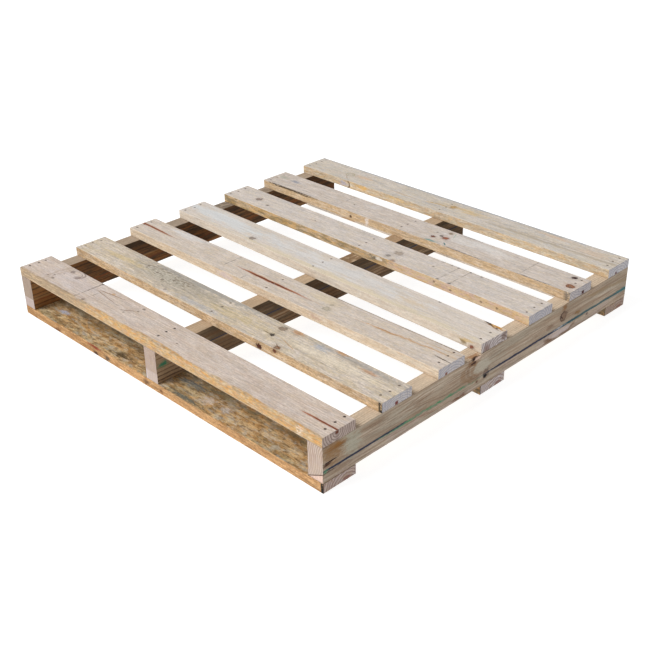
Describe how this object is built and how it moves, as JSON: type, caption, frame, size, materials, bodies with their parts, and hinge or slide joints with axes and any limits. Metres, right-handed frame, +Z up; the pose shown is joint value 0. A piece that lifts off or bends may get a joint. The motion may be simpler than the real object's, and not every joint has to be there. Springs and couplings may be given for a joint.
{
  "type": "wooden pallet",
  "caption": "Square two-way entry timber pallet: deck boards and bottom boards nailed across edge-laid bearers, with open fork pockets through both ends.",
  "frame": {"origin": "centre of the square footprint, on the ground", "axes": "+X along the deck and bottom boards, towards the right bearer; +Y along the bearers, from the front fork entry to the rear one; +Z up"},
  "size_m": [1.165, 1.165, 0.14],
  "materials": {
    "bearer_pine": "rough sawn softwood, greyed outside, darker between the bearers",
    "deck_pine": "rough sawn softwood, weathered pinkish beige with stains, knots and resin streaks",
    "bottom_pine": "rough sawn softwood, dirty and stained",
    "nail_steel": "dull dark oxidised wire nails"
  },
  "bodies": {
    "root": {"left_bearer": "bearer_pine", "middle_bearer": "bearer_pine", "right_bearer": "bearer_pine", "deck_board_1": "deck_pine", "deck_board_2": "deck_pine", "deck_board_3": "deck_pine", "deck_board_4": "deck_pine", "deck_board_5": "deck_pine", "deck_board_6": "deck_pine", "deck_board_7": "deck_pine", "bottom_board_front": "bottom_pine", "bottom_board_middle": "bottom_pine", "bottom_board_rear": "bottom_pine", "deck_board_1_nails": "nail_steel", "deck_board_2_nails": "nail_steel", "deck_board_3_nails": "nail_steel", "deck_board_4_nails": "nail_steel", "deck_board_5_nails": "nail_steel", "deck_board_6_nails": "nail_steel", "deck_board_7_nails": "nail_steel", "bottom_board_front_nails": "nail_steel", "bottom_board_middle_nails": "nail_steel", "bottom_board_rear_nails": "nail_steel"}
  },
  "joints": []
}
